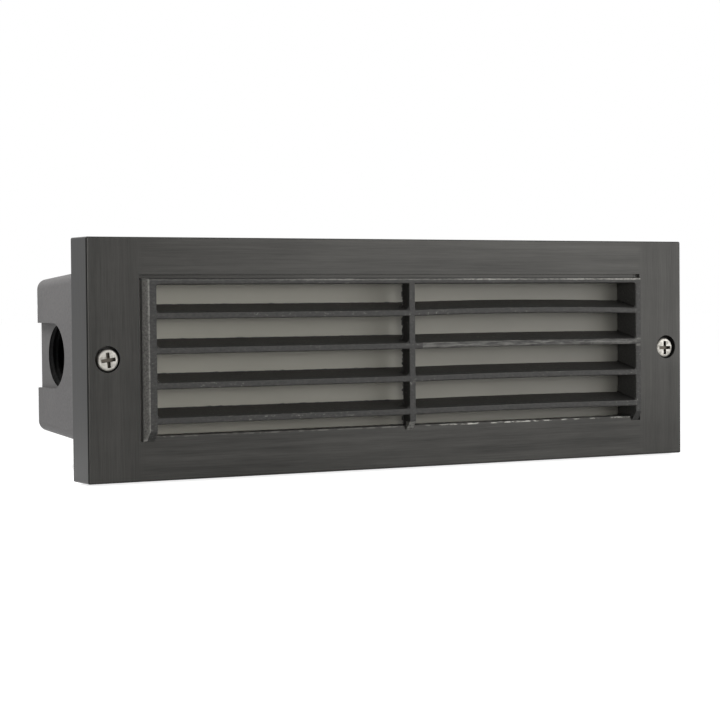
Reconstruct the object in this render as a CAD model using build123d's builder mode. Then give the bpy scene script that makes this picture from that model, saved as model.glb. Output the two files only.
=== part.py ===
from build123d import *
import math
import os

os.makedirs("parts", exist_ok=True)

# Louvred step light that is built into a brick wall.
# The origin is the centre of the faceplate's back rim, which lies on the wall plane y = 0.
# +X runs along the faceplate, +Y goes into the wall, +Z is up. All sizes are in millimetres.

SIDES = {"left": -1, "right": 1}

# Faceplate casting
PLATE_LENGTH = 228.6
PLATE_HEIGHT = 76.2
PLATE_DEPTH = 12.7
PLATE_EDGE_RADIUS = 0.6
PLATE_SIDE_RIM = 3.5
PLATE_END_RIM = 2.5
POCKET_LENGTH = PLATE_LENGTH - 2 * PLATE_END_RIM
POCKET_HEIGHT = PLATE_HEIGHT - 2 * PLATE_SIDE_RIM
POCKET_DEPTH = 7.5
FRONT_Y = -PLATE_DEPTH

# Window and raised louver frame
WINDOW_LENGTH = 184.4
WINDOW_TOP = 23.3
WINDOW_BOTTOM = -24.0
WINDOW_CORNER = 0.8
FRAME_PROUD = 2.8
FRAME_BACK_LEFT = -96.1
FRAME_BACK_RIGHT = 95.1
FRAME_BACK_TOP = 25.25
FRAME_FRONT_LEFT = -94.9
FRAME_FRONT_RIGHT = 94.4
FRAME_FRONT_TOP = 25.0
FRAME_BOTTOM = -25.6
FOOT_BEVEL_HEIGHT = 3.2
LOUVER_EDGE_RADIUS = 0.4
SIDE_GROOVE_WIDTH = 0.85
TOP_GROOVE_WIDTH = 1.2
GROOVE_DEPTH = 1.6
LOUVER_FRONT_Y = FRONT_Y - FRAME_PROUD

# Slats: sloping blades, low at the front, with one mullion across them
SLAT_FIRST_TOP = 14.5
SLAT_PITCH = 10.93
SLAT_FRONT_THICKNESS = 2.1
SLAT_BACK_THICKNESS = 1.7
SLAT_RISE = 2.6
SLAT_ROOT = 0.5
SLAT_RIGHT_BOWS = [0.6, 0.25, 0.25, 0.25]
MULLION_WIDTH = 2.4
MULLION_DEPTH = 4.3

# Lens stack, from the seat in the casting towards the wall
SEAT_Y = -4.7
LENS_GASKET_THICKNESS = 0.6
LENS_THICKNESS = 3.0
LENS_LENGTH = 189.2
LENS_HEIGHT = 52.4
LENS_CORNER = 2.0
LENS_CLEARANCE = 0.4
LENS_GASKET_INSET = 0.6
LENS_FRONT_Y = SEAT_Y + LENS_GASKET_THICKNESS
LENS_BACK_Y = LENS_FRONT_Y + LENS_THICKNESS
BLOCK_LENGTH = 206.6
BLOCK_HEIGHT = 60.8
BLOCK_CORNER = 3.0
RETAINER_THICKNESS = 1.0
RETAINER_LENGTH = 199.8
RETAINER_HEIGHT = 54.0
RETAINER_OPENING_LENGTH = 183.0
RETAINER_OPENING_HEIGHT = 46.8
RETAINER_SCREW_X = 97.5
RETAINER_SCREW_Z = 18.0
RETAINER_SCREW_RADIUS = 1.25
RETAINER_HEAD_RADIUS = 2.2
RETAINER_SCREW_LENGTH = 5.0
RETAINER_RECESS_WIDTH = 0.5

# Faceplate screws and their washers
SCREW_X = 107.3
SCREW_RADIUS = 2.0
SCREW_LENGTH = 14.0
SCREW_HEAD_RADIUS = 3.55
SCREW_HEAD_HEIGHT = 2.3
SCREW_HEAD_ROUNDING = 0.9
SCREW_RECESS_LENGTH = 4.8
SCREW_RECESS_WIDTH = 1.15
SCREW_RECESS_ANGLES = {"left": 7, "right": 0}
SCREW_RECESS_DEPTH = 1.3
SCREW_POCKET_RADIUS = 4.15
SCREW_POCKET_DEPTH = 3.1
SCREW_POCKET_OUT = 0.35
SCREW_POCKET_UP = 0.3
SCREW_HOLE_RADIUS = 2.3
SCREW_BOSS_RADIUS = 4.9
SCREW_BOSS_GAP = 0.6
WASHER_THICKNESS = 0.6
WASHER_RADIUS = 3.65
THREAD_CLEARANCE = 0.05
SCREW_SEAT_Y = FRONT_Y + SCREW_POCKET_DEPTH
SCREW_HEAD_Y = SCREW_SEAT_Y - WASHER_THICKNESS

# Back box
BOX_FRONT_Y = 1.0
BOX_REAR_Y = 69.85
BOX_FRONT_LENGTH = 203.4
BOX_FRONT_HEIGHT = 60.0
BOX_REAR_LENGTH = 201.0
BOX_REAR_HEIGHT = 51.8
BOX_CORNER = 3.5
BOX_REAR_ROUNDING = 3.2
BOX_WALL = 3.2
BOX_INNER_CORNER = 1.5
FLANGE_LENGTH = 208.6
FLANGE_HEIGHT = 62.8
FLANGE_THICKNESS = 3.2
FLANGE_CORNER = 4.0
EAR_RADIUS = 4.0
EAR_BOSS_RADIUS = 3.7
EAR_BOSS_HEIGHT = 1.0
GASKET_WIDTH = 3.0

# Conduit entry in the left end: a tapped hole for 1/2 in. pipe thread in a shallow relief
ENTRY_RADIUS = 10.67
ENTRY_Y = 52.3
ENTRY_WALL = 4.0
ENTRY_PAD_HALF_HEIGHT = 14.0
RELIEF_HALF_HEIGHT = 11.1
RELIEF_FLOOR_X = -98.25
RELIEF_CUT = 5.0

# Reflector tray and its posts
REFLECTOR_SHEET = 0.7
REFLECTOR_BACK_Y = 41.0
REFLECTOR_LIP_Y = 9.0
REFLECTOR_BACK_LENGTH = 160.0
REFLECTOR_BACK_HEIGHT = 28.0
REFLECTOR_LIP_LENGTH = 188.0
REFLECTOR_LIP_HEIGHT = 46.8
REFLECTOR_CORNER = 3.0
REFLECTOR_INNER_CORNER = 2.3
POST_POINTS = [(-40.0, 8.0), (40.0, -8.0)]
POST_RADIUS = 3.5
POST_ROOT = 0.5
REFLECTOR_SCREW_RADIUS = 1.5
REFLECTOR_SCREW_LENGTH = 8.0
REFLECTOR_HEAD_RADIUS = 2.8
REFLECTOR_HEAD_HEIGHT = 1.9
REFLECTOR_SLOT_WIDTH = 0.7
REFLECTOR_SLOT_DEPTH = 0.9

# Lamps, sockets and brackets, placed by their distance from the middle
LAMP_Y = 26.0
LAMP_TIP_X = 12.0
LAMP_RADIUS = 7.8
LAMP_SHOULDER_X = 36.0
LAMP_NECK_X = 40.5
LAMP_NECK_RADIUS = 4.8
LAMP_GLASS = 0.8
WEDGE_END_X = 49.0
WEDGE_HALF_WIDTH = 4.7
WEDGE_HALF_THICKNESS = 1.1
FILAMENT_X = 26.0
FILAMENT_HALF_SPAN = 2.6
FILAMENT_RADIUS = 0.45
SUPPORT_RADIUS = 0.3
SOCKET_MOUTH_X = 41.0
SOCKET_REAR_X = 57.0
SOCKET_HEIGHT = 15.0
SOCKET_DEPTH = 11.0
SOCKET_SLOT_END_X = 50.2
SOCKET_SLOT_HEIGHT = 10.0
SOCKET_SLOT_DEPTH = 4.4
CONTACT_Z = 2.0
CONTACT_WIDTH = 3.0
CONTACT_THICKNESS = 0.3
CONTACT_TAIL_OFFSET = 1.8
CONTACT_TOUCH_OFFSET = 1.32
CONTACT_TOUCH_X = 45.5
CONTACT_TIP_X = 42.5
BRACKET_SHEET = 1.0
BRACKET_UPRIGHT_X = 49.0
BRACKET_TOP_Y = 17.5
BRACKET_HALF_HEIGHT = 10.0
BRACKET_FOOT_HALF_HEIGHT = 7.0
BRACKET_FOOT_END_X = 65.0
RIVET_X = 60.0
RIVET_Z = 4.5
RIVET_RADIUS = 1.6
RIVET_HEAD_RADIUS = 2.4
RIVET_HEAD_HEIGHT = 1.0
FIT_GAP = 0.02

# Leads from the sockets, their grommets and the twist-on connectors
GROMMET_X = 73.5
GROMMET_HOLE_RADIUS = 4.2
GROMMET_RADIUS = 5.2
GROMMET_BORE_RADIUS = 3.2
GROMMET_LIP = 1.15
LEAD_RADIUS = 0.85
LEAD_SLACK_X = 34.0
LEAD_SLACK = 2.0
CONNECTOR_X = 8.0
CONNECTOR_MOUTH_Z = 3.0
CONNECTOR_LENGTH = 17.0
CONNECTOR_MOUTH_RADIUS = 5.0
CONNECTOR_TOP_RADIUS = 3.4
CONNECTOR_BORE_RADIUS = 3.2
CONNECTOR_BORE_DEPTH = 9.0
FEED_Y = 49.0
RETURN_Y = 60.0
LEAD_PAIR_OFFSET = 1.3
LEAD_APPROACH_Z = 7.0
LEAD_END_DEPTH = 6.0


def front_plane(y):
    """The plane at depth y. Its sketches are in (x, z) and a positive extrude goes to the front."""
    return Plane.XZ.offset(-y)


def box_size(y):
    """Length and height of the drafted back box's outside at depth y."""
    share = (y - BOX_FRONT_Y) / (BOX_REAR_Y - BOX_FRONT_Y)
    length = BOX_FRONT_LENGTH + share * (BOX_REAR_LENGTH - BOX_FRONT_LENGTH)
    height = BOX_FRONT_HEIGHT + share * (BOX_REAR_HEIGHT - BOX_FRONT_HEIGHT)
    return length, height


def corners(left, right, top):
    """Corners, in (x, z), of a rectangle of the raised frame, which all stand on its bottom line."""
    return [(left, FRAME_BOTTOM), (right, FRAME_BOTTOM), (right, top), (left, top)]


def slat_top(index):
    """Height of the top front edge of a slat, counted from the top one."""
    return SLAT_FIRST_TOP - index * SLAT_PITCH


def slat_outline(top):
    """Corners of a slat's section, in (y, z), with its top front edge at height top."""
    return [
        (LOUVER_FRONT_Y, top),
        (LOUVER_FRONT_Y, top - SLAT_FRONT_THICKNESS),
        (SEAT_Y, top + SLAT_RISE - SLAT_BACK_THICKNESS),
        (SEAT_Y, top + SLAT_RISE),
    ]


def save(node, name):
    """Label a finished piece and write it to its own file."""
    node.part.label = name
    export_step(node.part, f"parts/{name}.step")


# ------------------------------------------------------------------ faceplate
window_height = WINDOW_TOP - WINDOW_BOTTOM
window_middle = (WINDOW_TOP + WINDOW_BOTTOM) / 2
screw_points = [(side * SCREW_X, 0) for side in SIDES.values()]
screw_pocket_points = [
    (side * (SCREW_X + SCREW_POCKET_OUT), SCREW_POCKET_UP) for side in SIDES.values()
]
retainer_screw_points = [
    (x * RETAINER_SCREW_X, z * RETAINER_SCREW_Z) for x in (-1, 1) for z in (-1, 1)
]

with BuildPart() as faceplate:
    with BuildSketch(front_plane(0)):
        Rectangle(PLATE_LENGTH, PLATE_HEIGHT)
    extrude(amount=PLATE_DEPTH)
    front_edges = faceplate.edges().group_by(Axis.Y)[0]
    corner_edges = faceplate.edges().filter_by(Axis.Y)
    fillet(front_edges + corner_edges, PLATE_EDGE_RADIUS)

    # hollow back, with the lens block and the two screw bosses left standing
    with BuildSketch(front_plane(0)):
        Rectangle(POCKET_LENGTH, POCKET_HEIGHT)
    extrude(amount=SCREW_BOSS_GAP, mode=Mode.SUBTRACT)
    with BuildSketch(front_plane(0)):
        Rectangle(POCKET_LENGTH, POCKET_HEIGHT)
        RectangleRounded(BLOCK_LENGTH, BLOCK_HEIGHT, BLOCK_CORNER, mode=Mode.SUBTRACT)
        with Locations(screw_points):
            Circle(SCREW_BOSS_RADIUS, mode=Mode.SUBTRACT)
    extrude(amount=POCKET_DEPTH, mode=Mode.SUBTRACT)
    with BuildSketch(front_plane(0)):
        RectangleRounded(BLOCK_LENGTH, BLOCK_HEIGHT, BLOCK_CORNER)
    extrude(amount=-LENS_BACK_Y, mode=Mode.SUBTRACT)
    with BuildSketch(front_plane(0)):
        RectangleRounded(
            LENS_LENGTH + 2 * LENS_CLEARANCE,
            LENS_HEIGHT + 2 * LENS_CLEARANCE,
            LENS_CORNER,
        )
    extrude(amount=-SEAT_Y, mode=Mode.SUBTRACT)

    # raised frame with drafted walls, bevelled back to the plate along its foot
    with BuildSketch(front_plane(FRONT_Y)):
        with BuildLine():
            Polyline(*corners(FRAME_BACK_LEFT, FRAME_BACK_RIGHT, FRAME_BACK_TOP), close=True)
        make_face()
    with BuildSketch(front_plane(LOUVER_FRONT_Y)):
        with BuildLine():
            Polyline(*corners(FRAME_FRONT_LEFT, FRAME_FRONT_RIGHT, FRAME_FRONT_TOP), close=True)
        make_face()
    loft()
    with BuildSketch(Plane.YZ):
        with BuildLine():
            Polyline(
                (FRONT_Y, FRAME_BOTTOM),
                (LOUVER_FRONT_Y, FRAME_BOTTOM + FOOT_BEVEL_HEIGHT),
                (LOUVER_FRONT_Y - FRAME_PROUD, FRAME_BOTTOM + 2 * FOOT_BEVEL_HEIGHT),
                (LOUVER_FRONT_Y - FRAME_PROUD, FRAME_BOTTOM - FOOT_BEVEL_HEIGHT),
                (FRONT_Y, FRAME_BOTTOM - FOOT_BEVEL_HEIGHT),
                close=True,
            )
        make_face()
    extrude(amount=-FRAME_BACK_LEFT, both=True, mode=Mode.SUBTRACT)

    # shadow groove round the top and the sides of the frame
    groove_left = FRAME_BACK_LEFT - SIDE_GROOVE_WIDTH
    groove_right = FRAME_BACK_RIGHT + SIDE_GROOVE_WIDTH
    groove_top = FRAME_BACK_TOP + TOP_GROOVE_WIDTH
    with BuildSketch(front_plane(FRONT_Y)):
        with BuildLine():
            Polyline(*corners(groove_left, groove_right, groove_top), close=True)
        make_face()
        with BuildLine():
            Polyline(*corners(FRAME_BACK_LEFT, FRAME_BACK_RIGHT, FRAME_BACK_TOP), close=True)
        make_face(mode=Mode.SUBTRACT)
    extrude(amount=-GROOVE_DEPTH, mode=Mode.SUBTRACT)

    # window through the frame and the plate; the frame has no bottom member
    with BuildSketch(front_plane(0)):
        with Locations((0, window_middle)):
            RectangleRounded(WINDOW_LENGTH, window_height, WINDOW_CORNER)
    extrude(amount=PLATE_DEPTH + FRAME_PROUD, mode=Mode.SUBTRACT)
    with BuildSketch(front_plane(FRONT_Y)):
        with Locations((0, (window_middle + FRAME_BOTTOM) / 2)):
            Rectangle(WINDOW_LENGTH, window_middle - FRAME_BOTTOM)
    extrude(amount=FRAME_PROUD, mode=Mode.SUBTRACT)

    # slats, each rooted in both sides of the window; their right halves bow up a little
    slat_end = WINDOW_LENGTH / 2 + SLAT_ROOT
    for slat, bow in enumerate(SLAT_RIGHT_BOWS):
        with BuildSketch(Plane.YZ):
            with BuildLine():
                Polyline(*slat_outline(slat_top(slat)), close=True)
            make_face()
        extrude(amount=-slat_end)
        for share in (0, 0.25, 0.5, 0.75, 1):
            lift = 4 * bow * share * (1 - share)
            with BuildSketch(Plane.YZ.offset(share * slat_end)):
                with BuildLine():
                    Polyline(*slat_outline(slat_top(slat) + lift), close=True)
                make_face()
        loft()

    # mullion across the slats, with a bevelled foot on the plate's face
    with BuildSketch(Plane.YZ):
        with BuildLine():
            Polyline(
                (LOUVER_FRONT_Y, WINDOW_TOP + SLAT_ROOT),
                (LOUVER_FRONT_Y, FRAME_BOTTOM + FOOT_BEVEL_HEIGHT),
                (FRONT_Y, FRAME_BOTTOM),
                (LOUVER_FRONT_Y + MULLION_DEPTH, FRAME_BOTTOM),
                (LOUVER_FRONT_Y + MULLION_DEPTH, WINDOW_TOP + SLAT_ROOT),
                close=True,
            )
        make_face()
    extrude(amount=MULLION_WIDTH / 2, both=True)
    fillet(faceplate.edges().group_by(Axis.Y)[0], LOUVER_EDGE_RADIUS)

    # round pockets and clearance holes for the faceplate screws
    with BuildSketch(front_plane(SCREW_SEAT_Y)):
        with Locations(screw_pocket_points):
            Circle(SCREW_POCKET_RADIUS)
    extrude(amount=SCREW_POCKET_DEPTH, mode=Mode.SUBTRACT)
    with BuildSketch(front_plane(0)):
        with Locations(screw_points):
            Circle(SCREW_HOLE_RADIUS)
    extrude(amount=PLATE_DEPTH, mode=Mode.SUBTRACT)

    # tapped holes for the retainer's screws
    with BuildSketch(front_plane(LENS_BACK_Y)):
        with Locations(retainer_screw_points):
            Circle(RETAINER_SCREW_RADIUS + FIT_GAP)
    extrude(amount=RETAINER_SCREW_LENGTH, mode=Mode.SUBTRACT)
save(faceplate, "faceplate")

# ------------------------------------------------------------------ lens stack
with BuildPart() as lens_gasket:
    with BuildSketch(front_plane(LENS_FRONT_Y)):
        RectangleRounded(LENS_LENGTH, LENS_HEIGHT, LENS_CORNER)
        with Locations((0, window_middle)):
            Rectangle(
                WINDOW_LENGTH + 2 * LENS_GASKET_INSET,
                window_height + 2 * LENS_GASKET_INSET,
                mode=Mode.SUBTRACT,
            )
    extrude(amount=LENS_GASKET_THICKNESS)
save(lens_gasket, "lens_gasket")

with BuildPart() as lens:
    with BuildSketch(front_plane(LENS_BACK_Y)):
        RectangleRounded(LENS_LENGTH, LENS_HEIGHT, LENS_CORNER)
    extrude(amount=LENS_THICKNESS)
save(lens, "lens")

with BuildPart() as lens_retainer:
    with BuildSketch(front_plane(LENS_BACK_Y + RETAINER_THICKNESS)):
        RectangleRounded(RETAINER_LENGTH, RETAINER_HEIGHT, LENS_CORNER)
        Rectangle(RETAINER_OPENING_LENGTH, RETAINER_OPENING_HEIGHT, mode=Mode.SUBTRACT)
    extrude(amount=RETAINER_THICKNESS)
    for point in retainer_screw_points:
        with BuildSketch(front_plane(LENS_BACK_Y + RETAINER_THICKNESS)):
            with Locations(point):
                Circle(RETAINER_HEAD_RADIUS)
        with BuildSketch(front_plane(LENS_BACK_Y)):
            with Locations(point):
                Circle(RETAINER_SCREW_RADIUS)
        loft(mode=Mode.SUBTRACT)
save(lens_retainer, "lens_retainer")

with BuildPart() as lens_retainer_screws:
    for point in retainer_screw_points:
        with BuildSketch(front_plane(LENS_BACK_Y + RETAINER_THICKNESS)):
            with Locations(point):
                Circle(RETAINER_HEAD_RADIUS)
        with BuildSketch(front_plane(LENS_BACK_Y)):
            with Locations(point):
                Circle(RETAINER_SCREW_RADIUS)
        loft()
    with BuildSketch(front_plane(LENS_BACK_Y)):
        with Locations(retainer_screw_points):
            Circle(RETAINER_SCREW_RADIUS)
    extrude(amount=RETAINER_SCREW_LENGTH)
    with BuildSketch(front_plane(LENS_BACK_Y + RETAINER_THICKNESS)):
        with Locations(retainer_screw_points):
            Rectangle(2 * RETAINER_SCREW_RADIUS, RETAINER_RECESS_WIDTH)
            Rectangle(RETAINER_RECESS_WIDTH, 2 * RETAINER_SCREW_RADIUS)
    extrude(amount=RETAINER_THICKNESS, mode=Mode.SUBTRACT)
save(lens_retainer_screws, "lens_retainer_screws")

with BuildPart() as faceplate_gasket:
    with BuildSketch(front_plane(BOX_FRONT_Y)):
        RectangleRounded(BLOCK_LENGTH, BLOCK_HEIGHT, BLOCK_CORNER)
        Rectangle(
            BLOCK_LENGTH - 2 * GASKET_WIDTH,
            BLOCK_HEIGHT - 2 * GASKET_WIDTH,
            mode=Mode.SUBTRACT,
        )
    extrude(amount=BOX_FRONT_Y - LENS_BACK_Y)
save(faceplate_gasket, "faceplate_gasket")

# ------------------------------------------------------------------ faceplate screws
for name, side in SIDES.items():
    axis_point = (side * SCREW_X, 0)
    with BuildPart() as faceplate_screw:
        with BuildSketch(front_plane(SCREW_HEAD_Y)):
            with Locations(axis_point):
                Circle(SCREW_HEAD_RADIUS)
        extrude(amount=SCREW_HEAD_HEIGHT)
        fillet(faceplate_screw.edges().group_by(Axis.Y)[0], SCREW_HEAD_ROUNDING)
        with BuildSketch(front_plane(SCREW_HEAD_Y - SCREW_HEAD_HEIGHT)):
            with Locations(Location(axis_point, SCREW_RECESS_ANGLES[name])):
                Rectangle(SCREW_RECESS_LENGTH, SCREW_RECESS_WIDTH)
                Rectangle(SCREW_RECESS_WIDTH, SCREW_RECESS_LENGTH)
        extrude(amount=-SCREW_RECESS_DEPTH, mode=Mode.SUBTRACT)
        with BuildSketch(front_plane(SCREW_HEAD_Y)):
            with Locations(axis_point):
                Circle(SCREW_RADIUS)
        extrude(amount=-SCREW_LENGTH)
        chamfer(faceplate_screw.edges().group_by(Axis.Y)[-1], SCREW_RADIUS / 4)
    save(faceplate_screw, f"faceplate_screw_{name}")

    with BuildPart() as screw_washer:
        with BuildSketch(front_plane(SCREW_SEAT_Y)):
            with Locations(axis_point):
                Circle(WASHER_RADIUS)
                Circle(SCREW_RADIUS + THREAD_CLEARANCE, mode=Mode.SUBTRACT)
        extrude(amount=WASHER_THICKNESS)
    save(screw_washer, f"screw_washer_{name}")

# ------------------------------------------------------------------ back box
inner_rear_y = BOX_REAR_Y - BOX_WALL
inner_rear_length, inner_rear_height = box_size(inner_rear_y)
pad_front_y = ENTRY_Y - ENTRY_PAD_HALF_HEIGHT

with BuildPart() as back_box:
    with BuildSketch(front_plane(BOX_FRONT_Y)):
        RectangleRounded(BOX_FRONT_LENGTH, BOX_FRONT_HEIGHT, BOX_CORNER)
    with BuildSketch(front_plane(BOX_REAR_Y)):
        RectangleRounded(BOX_REAR_LENGTH, BOX_REAR_HEIGHT, BOX_CORNER)
    loft()
    fillet(back_box.edges().group_by(Axis.Y)[-1], BOX_REAR_ROUNDING)

    # flange with an ear at each end, then a small boss on each ear
    with BuildSketch(front_plane(BOX_FRONT_Y + FLANGE_THICKNESS)):
        RectangleRounded(FLANGE_LENGTH, FLANGE_HEIGHT, FLANGE_CORNER)
        Rectangle(2 * SCREW_X, 2 * EAR_RADIUS)
        with Locations(screw_points):
            Circle(EAR_RADIUS)
    extrude(amount=FLANGE_THICKNESS)
    with BuildSketch(front_plane(BOX_FRONT_Y)):
        with Locations(screw_points):
            Circle(EAR_BOSS_RADIUS)
    extrude(amount=EAR_BOSS_HEIGHT)
    with BuildSketch(front_plane(BOX_FRONT_Y + FLANGE_THICKNESS)):
        with Locations(screw_points):
            Circle(SCREW_RADIUS + THREAD_CLEARANCE)
    extrude(amount=FLANGE_THICKNESS + EAR_BOSS_HEIGHT, mode=Mode.SUBTRACT)

    # cavity
    with BuildSketch(front_plane(BOX_FRONT_Y)):
        RectangleRounded(
            BOX_FRONT_LENGTH - 2 * BOX_WALL,
            BOX_FRONT_HEIGHT - 2 * BOX_WALL,
            BOX_INNER_CORNER,
        )
    with BuildSketch(front_plane(inner_rear_y)):
        RectangleRounded(
            inner_rear_length - 2 * BOX_WALL,
            inner_rear_height - 2 * BOX_WALL,
            BOX_INNER_CORNER,
        )
    loft(mode=Mode.SUBTRACT)

    # posts for the reflector
    with BuildSketch(front_plane(inner_rear_y + POST_ROOT)):
        with Locations(POST_POINTS):
            Circle(POST_RADIUS)
    extrude(amount=inner_rear_y + POST_ROOT - REFLECTOR_BACK_Y)
    with BuildSketch(front_plane(REFLECTOR_BACK_Y)):
        with Locations(POST_POINTS):
            Circle(REFLECTOR_SCREW_RADIUS + FIT_GAP)
    extrude(amount=-REFLECTOR_SCREW_LENGTH, mode=Mode.SUBTRACT)

    # conduit entry: inner pad, shallow relief open to the rear, tapped hole
    with BuildSketch(Plane.YZ.offset(RELIEF_FLOOR_X)):
        with Locations(((pad_front_y + inner_rear_y) / 2, 0)):
            Rectangle(inner_rear_y - pad_front_y, 2 * ENTRY_PAD_HALF_HEIGHT)
    extrude(amount=ENTRY_WALL)
    with BuildSketch(Plane.YZ.offset(RELIEF_FLOOR_X)):
        with Locations((ENTRY_Y, 0)):
            Circle(RELIEF_HALF_HEIGHT)
        with Locations(((ENTRY_Y + BOX_REAR_Y) / 2, 0)):
            Rectangle(BOX_REAR_Y - ENTRY_Y, 2 * RELIEF_HALF_HEIGHT)
    extrude(amount=-RELIEF_CUT, mode=Mode.SUBTRACT)
    with BuildSketch(Plane.YZ.offset(RELIEF_FLOOR_X)):
        with Locations((ENTRY_Y, 0)):
            Circle(ENTRY_RADIUS)
    extrude(amount=ENTRY_WALL, mode=Mode.SUBTRACT)
save(back_box, "back_box")

# ------------------------------------------------------------------ reflector
rivet_points = [(x * RIVET_X, z * RIVET_Z) for x in (-1, 1) for z in (-1, 1)]
grommet_points = [(side * GROMMET_X, 0) for side in SIDES.values()]

with BuildPart() as reflector:
    with BuildSketch(front_plane(REFLECTOR_BACK_Y)):
        RectangleRounded(REFLECTOR_BACK_LENGTH, REFLECTOR_BACK_HEIGHT, REFLECTOR_CORNER)
    with BuildSketch(front_plane(REFLECTOR_LIP_Y)):
        RectangleRounded(REFLECTOR_LIP_LENGTH, REFLECTOR_LIP_HEIGHT, REFLECTOR_CORNER)
    loft()
    with BuildSketch(front_plane(REFLECTOR_BACK_Y - REFLECTOR_SHEET)):
        RectangleRounded(
            REFLECTOR_BACK_LENGTH - 2 * REFLECTOR_SHEET,
            REFLECTOR_BACK_HEIGHT - 2 * REFLECTOR_SHEET,
            REFLECTOR_INNER_CORNER,
        )
    with BuildSketch(front_plane(REFLECTOR_LIP_Y)):
        RectangleRounded(
            REFLECTOR_LIP_LENGTH - 2 * REFLECTOR_SHEET,
            REFLECTOR_LIP_HEIGHT - 2 * REFLECTOR_SHEET,
            REFLECTOR_INNER_CORNER,
        )
    loft(mode=Mode.SUBTRACT)
    with BuildSketch(front_plane(REFLECTOR_BACK_Y)):
        with Locations(POST_POINTS):
            Circle(REFLECTOR_SCREW_RADIUS + FIT_GAP)
        with Locations(rivet_points):
            Circle(RIVET_RADIUS + FIT_GAP)
        with Locations(grommet_points):
            Circle(GROMMET_HOLE_RADIUS)
    extrude(amount=REFLECTOR_SHEET, mode=Mode.SUBTRACT)
save(reflector, "reflector")

with BuildPart() as reflector_screws:
    with BuildSketch(front_plane(REFLECTOR_BACK_Y - REFLECTOR_SHEET)):
        with Locations(POST_POINTS):
            Circle(REFLECTOR_HEAD_RADIUS)
    extrude(amount=REFLECTOR_HEAD_HEIGHT)
    fillet(reflector_screws.edges().group_by(Axis.Y)[0], REFLECTOR_HEAD_HEIGHT / 3)
    with BuildSketch(front_plane(REFLECTOR_BACK_Y - REFLECTOR_SHEET - REFLECTOR_HEAD_HEIGHT)):
        with Locations(POST_POINTS):
            Rectangle(2 * REFLECTOR_HEAD_RADIUS, REFLECTOR_SLOT_WIDTH)
    extrude(amount=-REFLECTOR_SLOT_DEPTH, mode=Mode.SUBTRACT)
    with BuildSketch(front_plane(REFLECTOR_BACK_Y - REFLECTOR_SHEET)):
        with Locations(POST_POINTS):
            Circle(REFLECTOR_SCREW_RADIUS)
    extrude(amount=-REFLECTOR_SCREW_LENGTH)
save(reflector_screws, "reflector_screws")

with BuildPart() as lead_grommets:
    with BuildSketch(front_plane(REFLECTOR_BACK_Y + GROMMET_LIP)):
        with Locations(grommet_points):
            Circle(GROMMET_RADIUS)
    extrude(amount=GROMMET_LIP)
    with BuildSketch(front_plane(REFLECTOR_BACK_Y)):
        with Locations(grommet_points):
            Circle(GROMMET_HOLE_RADIUS)
    extrude(amount=REFLECTOR_SHEET)
    with BuildSketch(front_plane(REFLECTOR_BACK_Y - REFLECTOR_SHEET)):
        with Locations(grommet_points):
            Circle(GROMMET_RADIUS)
    extrude(amount=GROMMET_LIP)
    with BuildSketch(front_plane(REFLECTOR_BACK_Y + GROMMET_LIP)):
        with Locations(grommet_points):
            Circle(GROMMET_BORE_RADIUS)
    extrude(amount=2 * GROMMET_LIP + REFLECTOR_SHEET, mode=Mode.SUBTRACT)
save(lead_grommets, "lead_grommets")

# ------------------------------------------------------------------ lamp brackets and rivets
foot_y = REFLECTOR_BACK_Y - REFLECTOR_SHEET
foot_middle_x = (BRACKET_UPRIGHT_X + BRACKET_FOOT_END_X) / 2

for name, side in SIDES.items():
    with BuildPart() as lamp_bracket:
        with BuildSketch(front_plane(foot_y)):
            with Locations((side * foot_middle_x, 0)):
                Rectangle(BRACKET_FOOT_END_X - BRACKET_UPRIGHT_X, 2 * BRACKET_FOOT_HALF_HEIGHT)
            with Locations((side * RIVET_X, RIVET_Z), (side * RIVET_X, -RIVET_Z)):
                Circle(RIVET_RADIUS + FIT_GAP, mode=Mode.SUBTRACT)
        extrude(amount=BRACKET_SHEET)
        with BuildSketch(Plane.YZ.offset(side * BRACKET_UPRIGHT_X)):
            with Locations(((BRACKET_TOP_Y + foot_y) / 2, 0)):
                Rectangle(foot_y - BRACKET_TOP_Y, 2 * BRACKET_HALF_HEIGHT)
            with Locations((LAMP_Y, 0)):
                Rectangle(SOCKET_DEPTH, SOCKET_HEIGHT, mode=Mode.SUBTRACT)
        extrude(amount=side * BRACKET_SHEET)
    save(lamp_bracket, f"lamp_bracket_{name}")

with BuildPart() as bracket_rivets:
    with BuildSketch(front_plane(foot_y - BRACKET_SHEET)):
        with Locations(rivet_points):
            Circle(RIVET_HEAD_RADIUS)
    extrude(amount=RIVET_HEAD_HEIGHT)
    fillet(bracket_rivets.edges().group_by(Axis.Y)[0], RIVET_HEAD_HEIGHT / 2)
    with BuildSketch(front_plane(REFLECTOR_BACK_Y)):
        with Locations(rivet_points):
            Circle(RIVET_RADIUS)
    extrude(amount=BRACKET_SHEET + REFLECTOR_SHEET)
    with BuildSketch(front_plane(REFLECTOR_BACK_Y + RIVET_HEAD_HEIGHT)):
        with Locations(rivet_points):
            Circle(RIVET_HEAD_RADIUS)
    extrude(amount=RIVET_HEAD_HEIGHT)
save(bracket_rivets, "bracket_rivets")

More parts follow.
